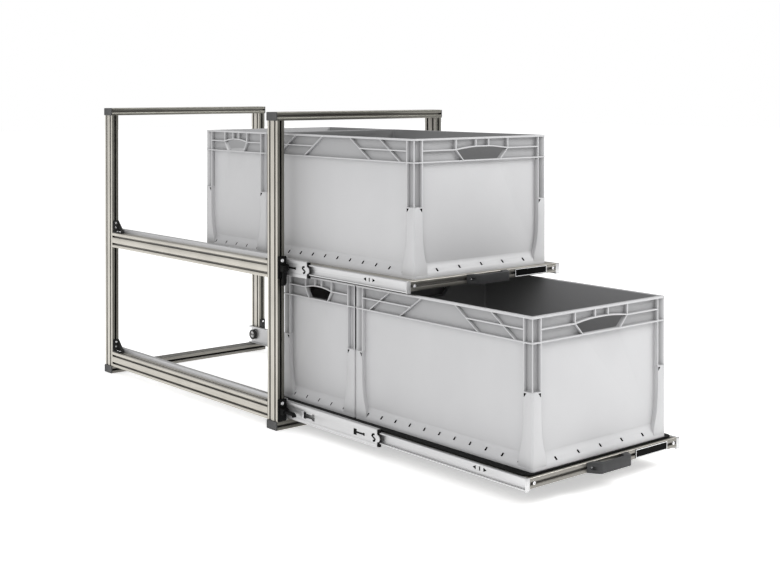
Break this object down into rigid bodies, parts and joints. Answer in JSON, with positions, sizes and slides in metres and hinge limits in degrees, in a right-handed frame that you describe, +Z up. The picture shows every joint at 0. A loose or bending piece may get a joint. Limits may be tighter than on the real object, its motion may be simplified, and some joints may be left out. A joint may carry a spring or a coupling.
{
  "type": "two-tier pull-out cabinet rack",
  "caption": "Open rack of slotted aluminium profile with stacked pull-out trays on telescopic slides, carrying grey plastic crates, with black bow handles and latch levers.",
  "frame": {"origin": "middle of the front bottom rail's underside, on the floor", "axes": "+X to the right seen from the front, +Y from the front of the rack to its rear, +Z up"},
  "size_m": [0.774, 2.421, 1.1],
  "materials": {
    "profile": "satin anodised",
    "cap": "moulded",
    "slide_steel": "bright zinc",
    "screw_steel": "zinc plated",
    "black_plastic": "moulded",
    "bracket_black": "powder coated",
    "stop_rubber": "matte",
    "board": "black film faced",
    "crate_grey": "moulded"
  },
  "bodies": {
    "rack": {"post_front_left": "profile", "post_front_right": "profile", "post_rear_left": "profile", "post_rear_right": "profile", "top_rail_front": "profile", "top_rail_rear": "profile", "bottom_rail_front": "profile", "bottom_rail_rear": "profile", "side_beam_lower_left": "profile", "side_beam_lower_right": "profile", "side_beam_upper_left": "profile", "side_beam_upper_right": "profile", "end_caps_top": "cap", "end_caps_bottom": "cap", "frame_screws_top": "screw_steel", "frame_screws_bottom": "screw_steel", "corner_brackets_rear": "bracket_black", "corner_brackets_front": "bracket_black", "bracket_screws": "screw_steel", "slide_outer_lower_left": "slide_steel", "slide_outer_lower_right": "slide_steel", "slide_outer_upper_left": "slide_steel", "slide_outer_upper_right": "slide_steel", "rear_stops": "stop_rubber", "latch_plates": "black_plastic", "latch_screws": "screw_steel"},
    "lower_stage": {"slide_middle_lower_left": "slide_steel", "slide_middle_lower_right": "slide_steel", "ball_cages_lower": "black_plastic"},
    "lower_tray": {"slide_inner_lower_left": "slide_steel", "slide_inner_lower_right": "slide_steel", "tray_rail_lower_front": "profile", "tray_rail_lower_rear": "profile", "tray_rail_lower_left": "profile", "tray_rail_lower_right": "profile", "base_board_lower": "board", "handle_lower": "black_plastic", "tray_screws_lower": "screw_steel", "badge_plate_lower": "black_plastic", "crate_long_lower": "crate_grey", "crate_short_lower": "crate_grey"},
    "lower_lever_left": {"latch_lever_lower_left": "black_plastic"},
    "lower_lever_right": {"latch_lever_lower_right": "black_plastic"},
    "upper_stage": {"slide_middle_upper_left": "slide_steel", "slide_middle_upper_right": "slide_steel", "ball_cages_upper": "black_plastic"},
    "upper_tray": {"slide_inner_upper_left": "slide_steel", "slide_inner_upper_right": "slide_steel", "tray_rail_upper_front": "profile", "tray_rail_upper_rear": "profile", "tray_rail_upper_left": "profile", "tray_rail_upper_right": "profile", "base_board_upper": "board", "handle_upper": "black_plastic", "tray_screws_upper": "screw_steel", "badge_plate_upper": "black_plastic", "crate_long_upper": "crate_grey", "crate_short_upper": "crate_grey"},
    "upper_lever_left": {"latch_lever_upper_left": "black_plastic"},
    "upper_lever_right": {"latch_lever_upper_right": "black_plastic"}
  },
  "joints": [
    {"name": "lower_stage_slide", "type": "slide", "parent": "rack", "child": "lower_stage", "axis": [0, -1, 0], "range_m": [-0.509, 0.041]},
    {"name": "lower_tray_slide", "type": "slide", "parent": "lower_stage", "child": "lower_tray", "axis": [0, -1, 0], "range_m": [-0.636, 0.014]},
    {"name": "lower_lever_left_hinge", "type": "hinge", "parent": "rack", "child": "lower_lever_left", "pos_m": [-0.366, -0.0465, 0.068], "axis": [-1, 0, 0], "range_deg": [-90, 0]},
    {"name": "lower_lever_right_hinge", "type": "hinge", "parent": "rack", "child": "lower_lever_right", "pos_m": [0.366, -0.0465, 0.068], "axis": [-1, 0, 0], "range_deg": [-90, 0]},
    {"name": "upper_stage_slide", "type": "slide", "parent": "rack", "child": "upper_stage", "axis": [0, -1, 0], "range_m": [-0.136, 0.414]},
    {"name": "upper_tray_slide", "type": "slide", "parent": "upper_stage", "child": "upper_tray", "axis": [0, -1, 0], "range_m": [-0.502, 0.148]},
    {"name": "upper_lever_left_hinge", "type": "hinge", "parent": "rack", "child": "upper_lever_left", "pos_m": [-0.366, -0.0465, 0.562], "axis": [-1, 0, 0], "range_deg": [0, 90]},
    {"name": "upper_lever_right_hinge", "type": "hinge", "parent": "rack", "child": "upper_lever_right", "pos_m": [0.366, -0.0465, 0.562], "axis": [-1, 0, 0], "range_deg": [0, 90]}
  ]
}
